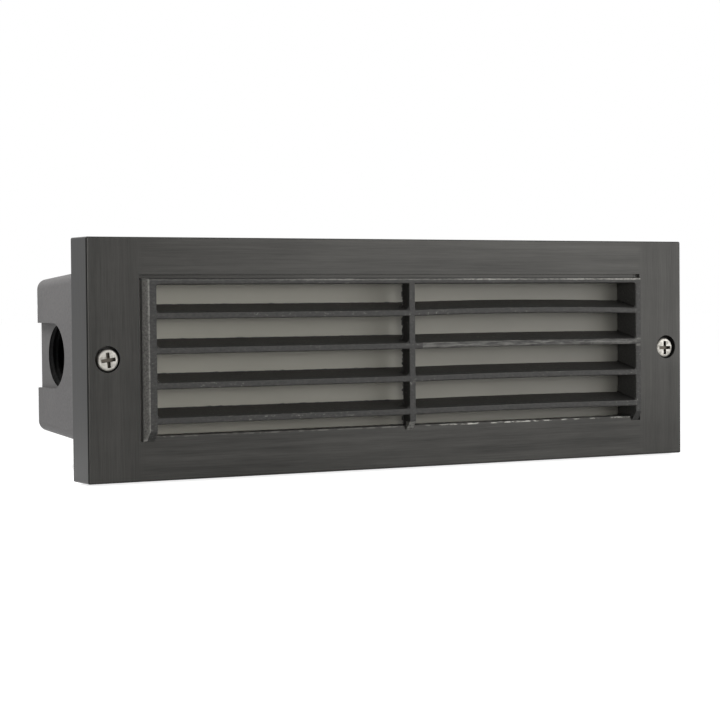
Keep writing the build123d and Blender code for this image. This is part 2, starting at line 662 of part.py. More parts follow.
# ------------------------------------------------------------------ sockets, contacts and lamps
for name, side in SIDES.items():
    with BuildPart() as lamp_socket:
        with BuildSketch(Plane.YZ.offset(side * SOCKET_MOUTH_X)):
            with Locations((LAMP_Y, 0)):
                Rectangle(SOCKET_DEPTH, SOCKET_HEIGHT)
        extrude(amount=side * (SOCKET_REAR_X - SOCKET_MOUTH_X))
        with BuildSketch(Plane.YZ.offset(side * SOCKET_MOUTH_X)):
            with Locations((LAMP_Y, 0)):
                Rectangle(SOCKET_SLOT_DEPTH, SOCKET_SLOT_HEIGHT)
        extrude(amount=side * (SOCKET_SLOT_END_X - SOCKET_MOUTH_X), mode=Mode.SUBTRACT)
        with BuildSketch(Plane.YZ.offset(side * SOCKET_SLOT_END_X)):
            for face in (-1, 1):
                with Locations((LAMP_Y + face * CONTACT_TAIL_OFFSET, -face * CONTACT_Z)):
                    Rectangle(CONTACT_THICKNESS, CONTACT_WIDTH)
        extrude(amount=side * (SOCKET_REAR_X - SOCKET_SLOT_END_X), mode=Mode.SUBTRACT)
    save(lamp_socket, f"lamp_socket_{name}")

    with BuildPart() as socket_contacts:
        for face in (-1, 1):
            tail_y = LAMP_Y + face * CONTACT_TAIL_OFFSET
            touch_y = LAMP_Y + face * CONTACT_TOUCH_OFFSET
            half = CONTACT_THICKNESS / 2
            with BuildSketch(Plane.XY.offset(-face * CONTACT_Z - CONTACT_WIDTH / 2)):
                with BuildLine():
                    Polyline(
                        (side * SOCKET_REAR_X, tail_y - half),
                        (side * SOCKET_SLOT_END_X, tail_y - half),
                        (side * CONTACT_TOUCH_X, touch_y - half),
                        (side * CONTACT_TIP_X, tail_y - half),
                        (side * CONTACT_TIP_X, tail_y + half),
                        (side * CONTACT_TOUCH_X, touch_y + half),
                        (side * SOCKET_SLOT_END_X, tail_y + half),
                        (side * SOCKET_REAR_X, tail_y + half),
                        close=True,
                    )
                make_face()
            extrude(amount=CONTACT_WIDTH)
    save(socket_contacts, f"socket_contacts_{name}")

    with BuildPart() as lamp:
        lamp_axis = Axis((0, LAMP_Y, 0), (1, 0, 0))
        with BuildSketch(Plane.XY):
            with BuildLine():
                Polyline(
                    (side * LAMP_TIP_X, LAMP_Y),
                    (side * LAMP_NECK_X, LAMP_Y),
                    (side * LAMP_NECK_X, LAMP_Y + LAMP_NECK_RADIUS),
                    (side * LAMP_SHOULDER_X, LAMP_Y + LAMP_RADIUS),
                    (side * (LAMP_TIP_X + LAMP_RADIUS), LAMP_Y + LAMP_RADIUS),
                )
                RadiusArc(
                    (side * (LAMP_TIP_X + LAMP_RADIUS), LAMP_Y + LAMP_RADIUS),
                    (side * LAMP_TIP_X, LAMP_Y),
                    -side * LAMP_RADIUS,
                )
            make_face()
        revolve(axis=lamp_axis)
        with BuildSketch(Plane.XY):
            with BuildLine():
                Polyline(
                    (side * (LAMP_TIP_X + LAMP_GLASS), LAMP_Y),
                    (side * (LAMP_NECK_X - LAMP_GLASS), LAMP_Y),
                    (side * (LAMP_NECK_X - LAMP_GLASS), LAMP_Y + LAMP_NECK_RADIUS - LAMP_GLASS),
                    (side * LAMP_SHOULDER_X, LAMP_Y + LAMP_RADIUS - LAMP_GLASS),
                    (side * (LAMP_TIP_X + LAMP_RADIUS), LAMP_Y + LAMP_RADIUS - LAMP_GLASS),
                )
                RadiusArc(
                    (side * (LAMP_TIP_X + LAMP_RADIUS), LAMP_Y + LAMP_RADIUS - LAMP_GLASS),
                    (side * (LAMP_TIP_X + LAMP_GLASS), LAMP_Y),
                    -side * (LAMP_RADIUS - LAMP_GLASS),
                )
            make_face()
        revolve(axis=lamp_axis, mode=Mode.SUBTRACT)
        with BuildSketch(Plane.YZ.offset(side * LAMP_NECK_X)):
            with Locations((LAMP_Y, 0)):
                Rectangle(2 * WEDGE_HALF_THICKNESS, 2 * WEDGE_HALF_WIDTH)
        extrude(amount=side * (WEDGE_END_X - LAMP_NECK_X))
    save(lamp, f"lamp_{name}")

    with BuildPart() as lamp_filament:
        with BuildSketch(Plane.YZ.offset(side * (LAMP_NECK_X - LAMP_GLASS))):
            with Locations((LAMP_Y, -FILAMENT_HALF_SPAN), (LAMP_Y, FILAMENT_HALF_SPAN)):
                Circle(SUPPORT_RADIUS)
        extrude(amount=side * (FILAMENT_X - LAMP_NECK_X + LAMP_GLASS))
        filament_plane = Plane.XY.offset(-FILAMENT_HALF_SPAN - FILAMENT_RADIUS)
        with BuildSketch(filament_plane):
            with Locations((side * FILAMENT_X, LAMP_Y)):
                Circle(FILAMENT_RADIUS)
        extrude(amount=2 * (FILAMENT_HALF_SPAN + FILAMENT_RADIUS))
    save(lamp_filament, f"lamp_filament_{name}")

# ------------------------------------------------------------------ twist-on connectors
with BuildPart() as wire_connectors:
    for up, depth_y in ((1, FEED_Y), (-1, RETURN_Y)):
        centre_x = -up * CONNECTOR_X
        mouth_z = up * CONNECTOR_MOUTH_Z
        top_z = up * (CONNECTOR_MOUTH_Z + CONNECTOR_LENGTH)
        bore_end_z = up * (CONNECTOR_MOUTH_Z + CONNECTOR_BORE_DEPTH)
        with BuildSketch(Plane.XZ.offset(-depth_y)):
            with BuildLine():
                Polyline(
                    (centre_x + CONNECTOR_BORE_RADIUS, mouth_z),
                    (centre_x + CONNECTOR_MOUTH_RADIUS, mouth_z),
                    (centre_x + CONNECTOR_TOP_RADIUS, top_z),
                    (centre_x, top_z),
                    (centre_x, bore_end_z),
                    (centre_x + CONNECTOR_BORE_RADIUS, bore_end_z),
                    close=True,
                )
            make_face()
        revolve(axis=Axis((centre_x, depth_y, 0), (0, 0, 1)))
save(wire_connectors, "wire_connectors")

# ------------------------------------------------------------------ leads
for kind, up, depth_y in (("feed", 1, FEED_Y), ("return", -1, RETURN_Y)):
    for name, side in SIDES.items():
        start_y = LAMP_Y - up * CONTACT_TAIL_OFFSET
        start_z = up * CONTACT_Z
        end_x = -up * CONNECTOR_X + side * LEAD_PAIR_OFFSET
        route = [
            Vector(side * SOCKET_REAR_X, start_y, start_z),
            Vector(side * GROMMET_X, start_y, start_z),
            Vector(side * GROMMET_X, depth_y, start_z),
            Vector(side * LEAD_SLACK_X, depth_y - LEAD_SLACK, -up * LEAD_SLACK),
            Vector(end_x, depth_y, -up * LEAD_APPROACH_Z),
            Vector(end_x, depth_y, up * (CONNECTOR_MOUTH_Z + LEAD_END_DEPTH)),
        ]
        runs = [route[i + 1] - route[i] for i in range(len(route) - 1)]
        radii = []
        for before, after in zip(runs, runs[1:]):
            half_turn = math.radians(before.get_angle(after)) / 2
            radii.append(0.45 * min(before.length, after.length) / math.tan(half_turn))
        with BuildPart() as lead:
            with BuildLine() as path:
                FilletPolyline(*route, radius=radii)
            with BuildSketch(Plane(origin=route[0], z_dir=runs[0])):
                Circle(LEAD_RADIUS)
            sweep()
        save(lead, f"lead_{name}_{kind}")
        length = path.wire().length
        expected = math.pi * LEAD_RADIUS**2 * length
        print(
            f"lead_{name}_{kind}: length {length:.1f}, volume {lead.part.volume:.1f},",
            f"section x length {expected:.1f}, radii {[round(radius, 1) for radius in radii]}",
        )
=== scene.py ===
import math
import random

import bmesh
import bpy
from mathutils import Matrix, Vector


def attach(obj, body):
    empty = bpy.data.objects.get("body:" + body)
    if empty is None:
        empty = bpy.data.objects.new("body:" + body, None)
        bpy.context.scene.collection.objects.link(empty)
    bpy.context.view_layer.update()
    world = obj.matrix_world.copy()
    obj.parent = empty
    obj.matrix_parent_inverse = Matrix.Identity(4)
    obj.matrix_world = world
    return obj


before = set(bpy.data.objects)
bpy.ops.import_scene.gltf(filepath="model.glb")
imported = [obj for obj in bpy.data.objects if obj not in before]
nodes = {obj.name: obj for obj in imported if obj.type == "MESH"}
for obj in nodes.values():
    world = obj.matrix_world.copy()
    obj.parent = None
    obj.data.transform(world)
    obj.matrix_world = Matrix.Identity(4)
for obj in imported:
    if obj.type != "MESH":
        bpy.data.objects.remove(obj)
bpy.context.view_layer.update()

MM = 0.001
BLACK = (0.0, 0.0, 0.0)
WHITE = (1.0, 1.0, 1.0, 1.0)

# ------------------------------------------------------------------ camera
# angles in degrees, lengths in metres, lens and sensor in millimetres
CAMERA_AZIMUTH = -29.3346
CAMERA_ELEVATION = 1.6147
CAMERA_ROLL = -0.4924
CAMERA_TARGET = (-0.0185, -0.0126, -0.00177)
CAMERA_DISTANCE = 0.6708
CAMERA_NEAREST = 0.02
CAMERA_FARTHEST = 50.0
CAMERA_LENS = 101.86
SENSOR_WIDTH = 36.0

azimuth = math.radians(CAMERA_AZIMUTH)
elevation = math.radians(CAMERA_ELEVATION)
roll = math.radians(CAMERA_ROLL)
backward = Vector((
    math.sin(azimuth) * math.cos(elevation),
    -math.cos(azimuth) * math.cos(elevation),
    math.sin(elevation),
))
level_right = Vector((math.cos(azimuth), math.sin(azimuth), 0.0))
level_up = backward.cross(level_right)
camera_right = math.cos(roll) * level_right + math.sin(roll) * level_up
camera_up = math.cos(roll) * level_up - math.sin(roll) * level_right

camera_data = bpy.data.cameras.new("camera")
camera_data.sensor_width = SENSOR_WIDTH
camera_data.sensor_fit = "HORIZONTAL"
camera_data.lens = CAMERA_LENS
camera_data.clip_start = CAMERA_NEAREST
camera_data.clip_end = CAMERA_FARTHEST
camera = bpy.data.objects.new("camera", camera_data)
bpy.context.collection.objects.link(camera)
placement = Matrix((camera_right, camera_up, backward)).transposed().to_4x4()
placement.translation = Vector(CAMERA_TARGET) + CAMERA_DISTANCE * backward
camera.matrix_world = placement
bpy.context.scene.camera = camera
bpy.context.scene.view_settings.view_transform = "Standard"


# ------------------------------------------------------------------ material helpers
class Finish:
    """One procedural material on a Principled shader, built up step by step.

    Places are in metres in the part's own frame, because every node's object sits at the origin.
    """

    def __init__(self, name, color, metallic=0.0, roughness=0.5):
        self.material = bpy.data.materials.new(name)
        self.material.use_nodes = True
        self.tree = self.material.node_tree
        self.shader = self.tree.nodes["Principled BSDF"]
        self.shader.inputs["Base Color"].default_value = (*color, 1.0)
        self.shader.inputs["Metallic"].default_value = metallic
        self.shader.inputs["Roughness"].default_value = roughness
        self.place = self.node("ShaderNodeTexCoord").outputs["Object"]
        self.normal = None

    def node(self, kind, **settings):
        made = self.tree.nodes.new(kind)
        for key, value in settings.items():
            setattr(made, key, value)
        return made

    def link(self, source, target):
        """Feeds a socket with a number, a colour or another socket."""
        if isinstance(source, (int, float)):
            target.default_value = source
        elif isinstance(source, tuple):
            target.default_value = (*source, 1.0) if len(source) == 3 else source
        else:
            self.tree.links.new(source, target)

    def noise(self, scale=1.0, stretch=(1.0, 1.0, 1.0), detail=3.0, roughness=0.55):
        """Noise from 0 to 1, its grains 1 / (scale x stretch) metres long."""
        mapping = self.node("ShaderNodeMapping")
        mapping.inputs["Scale"].default_value = stretch
        self.link(self.place, mapping.inputs["Vector"])
        made = self.node("ShaderNodeTexNoise")
        made.inputs["Scale"].default_value = scale
        made.inputs["Detail"].default_value = detail
        made.inputs["Roughness"].default_value = roughness
        self.link(mapping.outputs["Vector"], made.inputs["Vector"])
        return made.outputs["Fac"]

    def math(self, operation, first, second=0.0):
        made = self.node("ShaderNodeMath", operation=operation)
        self.link(first, made.inputs[0])
        self.link(second, made.inputs[1])
        return made.outputs[0]

    def remap(self, value, low, high, to_low=0.0, to_high=1.0):
        """Stretches the range low to high over to_low to to_high, and clips outside it."""
        made = self.node("ShaderNodeMapRange")
        self.link(value, made.inputs["Value"])
        made.inputs["From Min"].default_value = low
        made.inputs["From Max"].default_value = high
        made.inputs["To Min"].default_value = to_low
        made.inputs["To Max"].default_value = to_high
        return made.outputs["Result"]

    def axis(self, letter):
        split = self.node("ShaderNodeSeparateXYZ")
        self.link(self.place, split.inputs[0])
        return split.outputs[letter]

    def above(self, value, limit):
        """1 where value is over limit, otherwise 0."""
        return self.math("GREATER_THAN", value, limit)

    def below(self, value, limit):
        """1 where value is under limit, otherwise 0."""
        return self.math("LESS_THAN", value, limit)

    def product(self, *values):
        """All values multiplied: the overlap of masks."""
        total = values[0]
        for value in values[1:]:
            total = self.math("MULTIPLY", total, value)
        return total

    def largest(self, *values):
        """The largest of all values: masks laid over each other."""
        total = values[0]
        for value in values[1:]:
            total = self.math("MAXIMUM", total, value)
        return total

    def distance(self, first, second):
        """How long the step is that goes first one way and second across it."""
        return self.math("SQRT", self.math(
            "ADD", self.math("POWER", first, 2.0), self.math("POWER", second, 2.0)
        ))

    def blend(self, factor, first, second):
        """A number between first and second."""
        made = self.node("ShaderNodeMix", data_type="FLOAT")
        self.link(factor, made.inputs["Factor"])
        self.link(first, made.inputs["A"])
        self.link(second, made.inputs["B"])
        return made.outputs["Result"]

    def mix(self, factor, first, second):
        """A colour between first and second."""
        made = self.node("ShaderNodeMix", data_type="RGBA")
        self.link(factor, made.inputs["Factor"])
        self.link(first, made.inputs["A"])
        self.link(second, made.inputs["B"])
        return made.outputs["Result"]

    def tint(self, value, low, high, colors):
        """The first of two colours where value is low, and the second where it is high."""
        return self.mix(self.remap(value, low, high), *colors)

    def color(self, source):
        self.link(source, self.shader.inputs["Base Color"])

    def rough(self, source):
        self.link(source, self.shader.inputs["Roughness"])

    def bump(self, height, distance, strength=1.0):
        """Adds relief, distance metres high where height is 1."""
        made = self.node("ShaderNodeBump")
        made.inputs["Strength"].default_value = strength
        made.inputs["Distance"].default_value = distance
        self.link(height, made.inputs["Height"])
        if self.normal is not None:
            self.link(self.normal, made.inputs["Normal"])
        self.normal = made.outputs["Normal"]
        self.link(self.normal, self.shader.inputs["Normal"])


def dress(finish, *names):
    """Gives CAD nodes a finish in place of their plain one."""
    for name in names:
        mesh = nodes[name].data
        mesh.materials.clear()
        mesh.materials.append(finish.material)


# ------------------------------------------------------------------ faceplate metal
# Colours and lamps were tuned until the render's mean grey levels in some 40 small areas came
# near the photo's. The masks below that darken or lighten one place on the part were set the
# same way, so they may hold some of the photo's light as well as the part's own colour.
FRONT_Y = -12.7 * MM
LOUVER_FRONT_Y = -15.5 * MM
WINDOW_HALF_LENGTH = 92.2 * MM
WINDOW_TOP = 23.3 * MM
WINDOW_BOTTOM = -24.0 * MM
FRAME_FRONT_TOP = 25.0 * MM
FRAME_FRONT_LEFT = -94.9 * MM
FRAME_BOTTOM = -25.6 * MM
END_BORDER_X = 96.5 * MM
PLATE_HALF_LENGTH = 114.3 * MM
GROOVE_OUTER_X = 97.5 * MM
GROOVE_FLOOR_Y = -11.1 * MM
GROOVE_CORNER_X = 94.8 * MM
GROOVE_TOP = 27.0 * MM

# how far masks reach past the faces that they cover
SLACK = 0.1 * MM
FINE_SLACK = 0.05 * MM
FRAME_SIDE_DEPTH = 0.12 * MM
EDGE_DEPTH = 0.3 * MM
GROOVE_CORNER_DROP = 0.2 * MM
RIGHT_WALL_DEPTH = 0.15 * MM
END_BLEND = 1.5 * MM

# where the metal is worn bare, and where the frame's top edge also carries a painted highlight
EDGE_WEAR_AND_HIGHLIGHT_HEIGHT = 0.55 * MM
EDGE_WEAR_AND_HIGHLIGHT_DEPTH = 0.7 * MM
RUBBED_HALF_WIDTH = 0.25 * MM
FRONT_WEAR_DEPTH = 0.5 * MM
NICK_DROP = 0.5 * MM
WORN_SLAT_LEFT = 4.0 * MM
WORN_SLAT_BOTTOM = 1.0 * MM
WORN_SLAT_TOP = 4.0 * MM
FOOT_HALF_WIDTH = 1.3 * MM
FOOT_TOP = -22.6 * MM

# pairs run from the dark to the light colour of one skin
BRUSHED_COLORS = ((0.0145, 0.0140, 0.0128), (0.0390, 0.0379, 0.0349))
CAST_COLORS = ((0.011, 0.0106, 0.0098), (0.031, 0.0301, 0.0281))
# painted light: the frame's left side, the window's right wall, the left groove and the right end
# of the groove above the frame are lighter than the skin to stand in for light on them
FRAME_SIDE_PAINTED_LIGHT_COLORS = ((0.085, 0.083, 0.077), (0.19, 0.1855, 0.1725))
RIGHT_WALL_PAINTED_LIGHT_COLORS = ((0.035, 0.0343, 0.032), (0.065, 0.0637, 0.0595))
GROOVE_PAINTED_LIGHT_COLOR = (0.10, 0.098, 0.092)
GROOVE_CORNER_PAINTED_LIGHT_COLOR = (0.09, 0.088, 0.083)
# bare metal, also used for the painted highlight on the frame's top edge
BARE_AND_HIGHLIGHT_COLOR = (0.26, 0.255, 0.235)
# painted shade on the plate's two end faces
EDGE_PAINTED_SHADE = 0.72

plate = Finish("faceplate_dark_metal", (0.03, 0.0295, 0.0275), metallic=0.6, roughness=0.42)
plate.shader.inputs["Specular IOR Level"].default_value = 0.3
# plate_along is signed, and plate_x counts from the middle to either end
plate_along = plate.axis("X")
plate_x = plate.math("ABSOLUTE", plate_along)
plate_y = plate.axis("Y")
plate_z = plate.axis("Z")

# brushed along the long sides, and upright at the two ends
along = plate.noise(stretch=(55.0, 2200.0, 2200.0), detail=4.0, roughness=0.7)
upright = plate.noise(stretch=(2200.0, 2200.0, 55.0), detail=4.0, roughness=0.7)
long_streaks = plate.noise(stretch=(9.0, 420.0, 420.0), detail=3.0, roughness=0.6)
upright_streaks = plate.noise(stretch=(260.0, 260.0, 9.0), detail=3.0, roughness=0.5)
at_end = plate.remap(plate_x, END_BORDER_X - END_BLEND, END_BORDER_X + END_BLEND)
brushing = plate.blend(at_end, along, upright)
streaks = plate.blend(at_end, long_streaks, upright_streaks)

# the raised frame, the slats and the mullion keep their cast skin
raised = plate.below(plate_y, FRONT_Y - SLACK)
inside_window = plate.product(
    plate.below(plate_x, WINDOW_HALF_LENGTH + SLACK),
    plate.above(plate_z, WINDOW_BOTTOM - FINE_SLACK),
    plate.below(plate_z, WINDOW_TOP + SLACK),
)
cast_skin = plate.largest(raised, inside_window)
sand = plate.noise(stretch=(900.0, 1500.0, 1500.0), detail=4.0, roughness=0.65)
stretches = plate.noise(scale=38.0, stretch=(1.0, 3.0, 3.0), detail=2.0)

cloud = plate.noise(scale=24.0, stretch=(1.0, 2.0, 2.5), detail=4.0)
shade = plate.math(
    "ADD",
    plate.remap(brushing, 0.3, 0.7, -0.55, 0.55),
    plate.remap(cloud, 0.3, 0.7, -0.25, 0.25),
)
shade = plate.math("ADD", shade, plate.product(
    plate.remap(streaks, 0.3, 0.7, -0.42, 0.42), plate.blend(at_end, 1.0, 0.6)
))
brushed_color = plate.tint(shade, -1.0, 1.0, BRUSHED_COLORS)
cast_color = plate.tint(sand, 0.3, 0.7, CAST_COLORS)
skin_and_painted_light_color = plate.mix(cast_skin, brushed_color, cast_color)

# painted light and shade: the frame's left side is painted lighter, the plate's two ends are
# painted darker, the left groove and the right end of the groove above the frame are painted
# lighter over their shade and cast shadow, and the window's right wall is painted lighter
frame_side_painted_light = plate.product(
    plate.below(plate_y, FRONT_Y - FINE_SLACK),
    plate.below(plate_along, FRAME_FRONT_LEFT + FRAME_SIDE_DEPTH),
)
skin_and_painted_light_color = plate.mix(frame_side_painted_light, skin_and_painted_light_color, plate.tint(sand, 0.35, 0.65, FRAME_SIDE_PAINTED_LIGHT_COLORS))
# painted shade: the plate's two end faces are darkened
edge_face_painted_shade = plate.above(plate_x, PLATE_HALF_LENGTH - EDGE_DEPTH)
skin_and_painted_light_color = plate.mix(plate.product(edge_face_painted_shade, EDGE_PAINTED_SHADE), skin_and_painted_light_color, BLACK)
# painted light: the left groove is painted lighter than its shade
left_groove_painted_light = plate.product(
    plate.above(plate_y, FRONT_Y + SLACK),
    plate.below(plate_y, GROOVE_FLOOR_Y + SLACK),
    plate.above(plate_along, -GROOVE_OUTER_X),
    plate.below(plate_along, FRAME_FRONT_LEFT),
    plate.below(plate_z, FRAME_FRONT_TOP),
)
skin_and_painted_light_color = plate.mix(left_groove_painted_light, skin_and_painted_light_color, GROOVE_PAINTED_LIGHT_COLOR)
# painted light over the cast shadow at the right end of the groove above the frame
groove_corner_painted_light = plate.product(
    plate.above(plate_y, FRONT_Y + SLACK),
    plate.above(plate_along, GROOVE_CORNER_X),
    plate.below(plate_along, GROOVE_OUTER_X),
    plate.above(plate_z, FRAME_FRONT_TOP - GROOVE_CORNER_DROP),
    plate.below(plate_z, GROOVE_TOP),
)
skin_and_painted_light_color = plate.mix(groove_corner_painted_light, skin_and_painted_light_color, GROOVE_CORNER_PAINTED_LIGHT_COLOR)
# painted light: the window's right wall is painted lighter than its shade
right_wall_painted_light = plate.product(
    inside_window, plate.above(plate_along, WINDOW_HALF_LENGTH - RIGHT_WALL_DEPTH)
)
skin_and_painted_light_color = plate.mix(right_wall_painted_light, skin_and_painted_light_color, plate.tint(sand, 0.35, 0.65, RIGHT_WALL_PAINTED_LIGHT_COLORS))

# bare metal: a rubbed top edge, which also carries a painted highlight that grows brighter to the
# right, and a rubbed left corner, specks on the cast skin, nicks along the window's lower edge,
# streaky wear right of the mullion on the second slat, the mullion's foot
rubbed_edge_and_highlight = plate.product(
    plate.above(plate_z, FRAME_FRONT_TOP - EDGE_WEAR_AND_HIGHLIGHT_HEIGHT),
    plate.below(plate_y, LOUVER_FRONT_Y + EDGE_WEAR_AND_HIGHLIGHT_DEPTH),
    plate.remap(sand, 0.36, 0.56, 0.3, 1.0),
    plate.remap(stretches, 0.42, 0.58, 0.4, 1.0),
    plate.remap(plate_along, -60.0 * MM, 25.0 * MM, 0.25, 0.85),
)
rubbed_corner = plate.product(
    plate.above(plate_along, FRAME_FRONT_LEFT - RUBBED_HALF_WIDTH),
    plate.below(plate_along, FRAME_FRONT_LEFT + RUBBED_HALF_WIDTH),
    plate.below(plate_y, LOUVER_FRONT_Y + FRONT_WEAR_DEPTH),
    plate.remap(sand, 0.38, 0.6, 0.15, 0.7),
    plate.remap(plate_z, -25.0 * MM, 20.0 * MM, 0.4, 1.0),
)
specks = plate.product(
    cast_skin, plate.remap(sand, 0.60, 0.70), plate.remap(stretches, 0.5, 0.62, 0.05, 0.5)
)
nick_noise = plate.noise(stretch=(420.0, 900.0, 900.0), detail=3.0)
nicks = plate.product(
    plate.below(plate_z, WINDOW_BOTTOM + FINE_SLACK),
    plate.above(plate_z, WINDOW_BOTTOM - NICK_DROP),
    plate.below(plate_x, WINDOW_HALF_LENGTH),
    plate.remap(nick_noise, 0.47, 0.56),
    plate.remap(stretches, 0.36, 0.52, 0.5, 1.0),
    plate.remap(plate_along, 5.0 * MM, 25.0 * MM, 0.2, 1.0),
)
scuffs = plate.noise(stretch=(160.0, 600.0, 1600.0), detail=4.0, roughness=0.7)
worn_slat = plate.product(
    plate.above(plate_along, WORN_SLAT_LEFT),
    plate.below(plate_y, LOUVER_FRONT_Y + FRONT_WEAR_DEPTH),
    plate.above(plate_z, WORN_SLAT_BOTTOM),
    plate.below(plate_z, WORN_SLAT_TOP),
    plate.remap(scuffs, 0.45, 0.65, 0.0, 0.35),
)
mullion_foot = plate.product(
    plate.below(plate_x, FOOT_HALF_WIDTH),
    plate.below(plate_z, FOOT_TOP),
    plate.above(plate_z, FRAME_BOTTOM),
    plate.below(plate_y, FRONT_Y - FINE_SLACK),
    plate.remap(sand, 0.35, 0.65, 0.15, 0.7),
)
bare_and_highlight = plate.largest(rubbed_edge_and_highlight, specks, worn_slat, nicks, mullion_foot, rubbed_corner)
plate.color(plate.mix(bare_and_highlight, skin_and_painted_light_color, BARE_AND_HIGHLIGHT_COLOR))
plate.rough(plate.blend(cast_skin, plate.remap(brushing, 0.2, 0.8, 0.28, 0.37), 0.5))
plate.link(plate.blend(cast_skin, 0.6, 0.25), plate.shader.inputs["Metallic"])
plate.bump(plate.product(brushing, plate.math("SUBTRACT", 1.0, cast_skin)), 0.02 * MM, 0.6)
plate.bump(plate.product(sand, cast_skin), 0.10 * MM, 0.7)
dress(plate, "faceplate")

# ------------------------------------------------------------------ back box casting
BOX_FRONT_HALF_HEIGHT = 30.0 * MM
BOX_SIDE_DRAFT = 0.0595
BOX_SKIN = 1.6 * MM
INNER_HALF_LENGTH = 98.0 * MM
INNER_REAR_Y = 68.0 * MM
BOX_FRONT_Y = 1.2 * MM
ENTRY_Y = 52.3 * MM
ENTRY_OUTER_X = -98.25 * MM
THREAD_ROOT_RADIUS = 10.67 * MM
CASTING_COLORS = ((0.078, 0.075, 0.075), (0.091, 0.088, 0.087))
INNER_SHADE_COLORS = ((0.008, 0.008, 0.008), (0.016, 0.016, 0.016))

casting = Finish("back_box_casting", (0.10, 0.097, 0.097), metallic=0.1, roughness=0.6)
grain = casting.noise(scale=1100.0, detail=4.0, roughness=0.6)
patch = casting.noise(scale=40.0, detail=4.0)
painted = casting.tint(patch, 0.3, 0.7, CASTING_COLORS)
# box_along is signed, and box_x and box_z count from the middle
box_along = casting.axis("X")
box_x = casting.math("ABSOLUTE", box_along)
box_y = casting.axis("Y")
box_z = casting.math("ABSOLUTE", casting.axis("Z"))
inner_limit = casting.math(
    "SUBTRACT",
    BOX_FRONT_HALF_HEIGHT - BOX_SKIN,
    casting.math("MULTIPLY", box_y, BOX_SIDE_DRAFT),
)
inside_box = casting.product(
    casting.below(box_x, INNER_HALF_LENGTH),
    casting.above(box_y, BOX_FRONT_Y),
    casting.below(box_y, INNER_REAR_Y),
    casting.below(box_z, inner_limit),
)
inner_shade_color = casting.tint(grain, 0.3, 0.7, INNER_SHADE_COLORS)
from_entry = casting.distance(casting.math("SUBTRACT", box_y, ENTRY_Y), box_z)
in_entry = casting.product(
    casting.below(from_entry, THREAD_ROOT_RADIUS + SLACK),
    casting.below(box_along, 0.0),
    casting.above(box_along, ENTRY_OUTER_X + FINE_SLACK),
)
# painted shade: the inside and the entry are painted dark and without gloss, in place of the shade
# inside the closed box
painted_shade_places = casting.largest(inside_box, in_entry)
casting.color(casting.mix(painted_shade_places, painted, inner_shade_color))
casting.rough(casting.remap(grain, 0.3, 0.7, 0.52, 0.66))
casting.link(casting.blend(painted_shade_places, 0.5, 0.0), casting.shader.inputs["Specular IOR Level"])
casting.bump(grain, 0.03 * MM, 0.5)
casting.bump(casting.noise(scale=130.0, detail=3.0), 0.08 * MM, 0.35)
dress(casting, "back_box")

# ------------------------------------------------------------------ screws and other hardware
SCREW_X = 107.3 * MM
SCREW_PITCH = 0.7 * MM
SCREW_HEAD_Y = -10.2 * MM
SCREW_FACE_Y = -12.5 * MM
SCREW_RECESS_REACH = 2.55 * MM
SCREW_RECESS_RIM = 0.12 * MM
STEEL_COLORS = ((0.188, 0.180, 0.162), (0.353, 0.339, 0.311))
RECESS_SHADE_COLOR = (0.060, 0.052, 0.042)
ZINC_COLORS = ((0.34, 0.34, 0.32), (0.50, 0.50, 0.49))


def screw_finish(name, centre_x):
    """Worn stainless steel, with the thread as relief on the shank."""
    finish = Finish(name, (0.24, 0.23, 0.21), metallic=0.8, roughness=0.4)
    worn = finish.noise(scale=700.0, detail=4.0)
    finish.rough(finish.remap(worn, 0.3, 0.7, 0.48, 0.34))
    across = finish.math("SUBTRACT", finish.axis("X"), centre_x)
    depth = finish.axis("Y")
    height = finish.axis("Z")
    # painted shade: the cross recess in the head is painted dark in place of the shade inside it
    in_recess = finish.product(
        finish.above(depth, SCREW_FACE_Y + SCREW_RECESS_RIM),
        finish.below(depth, SCREW_HEAD_Y),
        finish.below(finish.distance(across, height), SCREW_RECESS_REACH),
    )
    steel = finish.tint(worn, 0.35, 0.65, STEEL_COLORS)
    finish.color(finish.mix(in_recess, steel, RECESS_SHADE_COLOR))
    turned = finish.math("DIVIDE", finish.math("ARCTAN2", height, across), 2 * math.pi)
    climbed = finish.math("DIVIDE", depth, SCREW_PITCH)
    ridge = finish.math("PINGPONG", finish.math("ADD", turned, climbed), 0.5)
    on_shank = finish.above(depth, SCREW_HEAD_Y)
    finish.bump(finish.product(ridge, on_shank), SCREW_PITCH)
    finish.bump(finish.noise(scale=2500.0, detail=3.0), 0.02 * MM, 0.5)
    return finish


dress(screw_finish("screw_stainless_left", -SCREW_X), "faceplate_screw_left")
dress(screw_finish("screw_stainless_right", SCREW_X), "faceplate_screw_right")

zinc = Finish("zinc_plated", (0.42, 0.42, 0.40), metallic=0.9, roughness=0.35)
zinc.color(zinc.tint(zinc.noise(scale=300.0, detail=4.0), 0.35, 0.65, ZINC_COLORS))
zinc.bump(zinc.noise(scale=2000.0, detail=3.0), 0.02 * MM, 0.4)
dress(zinc, "lens_retainer_screws", "reflector_screws", "lamp_bracket_left", "lamp_bracket_right")
dress(zinc, "lens_retainer", "bracket_rivets")

# ------------------------------------------------------------------ rubber
RUBBER_COLORS = ((0.014, 0.014, 0.014), (0.03, 0.03, 0.03))

rubber = Finish("black_rubber", (0.02, 0.02, 0.02), roughness=0.7)
rubber.color(rubber.tint(rubber.noise(scale=500.0, detail=4.0), 0.35, 0.65, RUBBER_COLORS))
rubber.bump(rubber.noise(scale=2500.0, detail=3.0), 0.02 * MM, 0.5)
dress(rubber, "lens_gasket", "faceplate_gasket", "lead_grommets")
dress(rubber, "screw_washer_left", "screw_washer_right")

